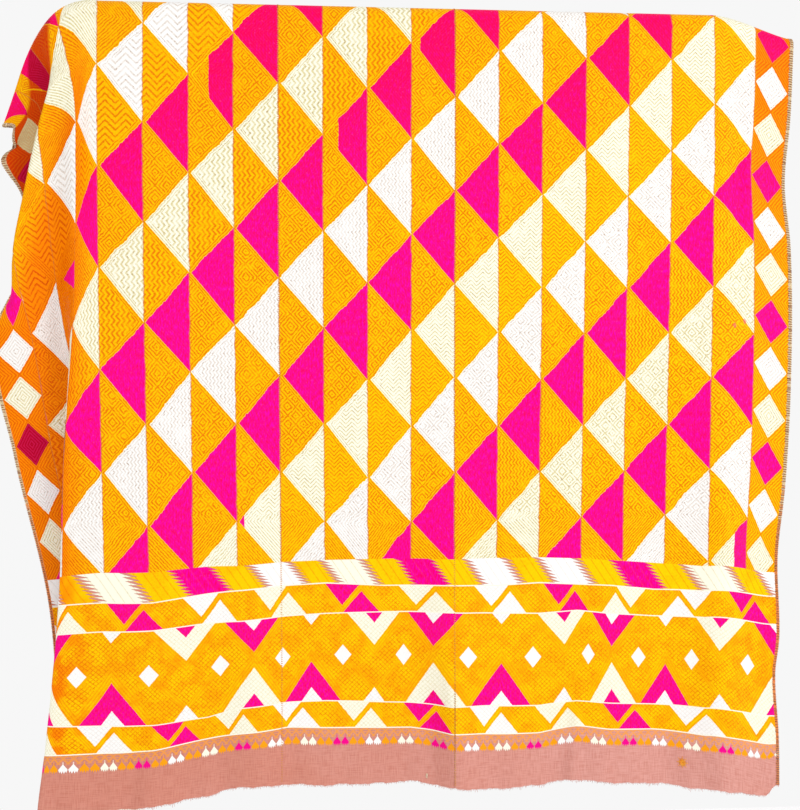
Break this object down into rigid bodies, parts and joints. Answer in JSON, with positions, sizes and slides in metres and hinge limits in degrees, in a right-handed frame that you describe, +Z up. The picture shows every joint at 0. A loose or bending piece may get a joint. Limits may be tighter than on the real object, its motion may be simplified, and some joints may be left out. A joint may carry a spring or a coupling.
{
  "type": "phulkari shawl on a rail",
  "caption": "Embroidered phulkari shawl hung over a plain round wooden rail, its left end falling in two deep folds and both hems hanging free.",
  "frame": {"origin": "middle of the rail, on its axis, where the rail and the shawl over it are held", "axes": "+Z up, +X along the rail to the right as seen from the front, -Y out of the shawl's front"},
  "size_m": [1.1999, 0.116, 1.1949],
  "materials": {
    "left_silk": "golden and magenta floss silk darning on terracotta khaddar",
    "centre_silk": "golden and magenta floss silk darning on terracotta khaddar",
    "right_silk": "golden and magenta floss silk darning on terracotta khaddar",
    "rail_wood": "plain turned wood, lightly waxed"
  },
  "bodies": {
    "root": {"strip_left": "left_silk", "strip_centre": "centre_silk", "strip_right": "right_silk", "rail": "rail_wood"}
  },
  "joints": []
}
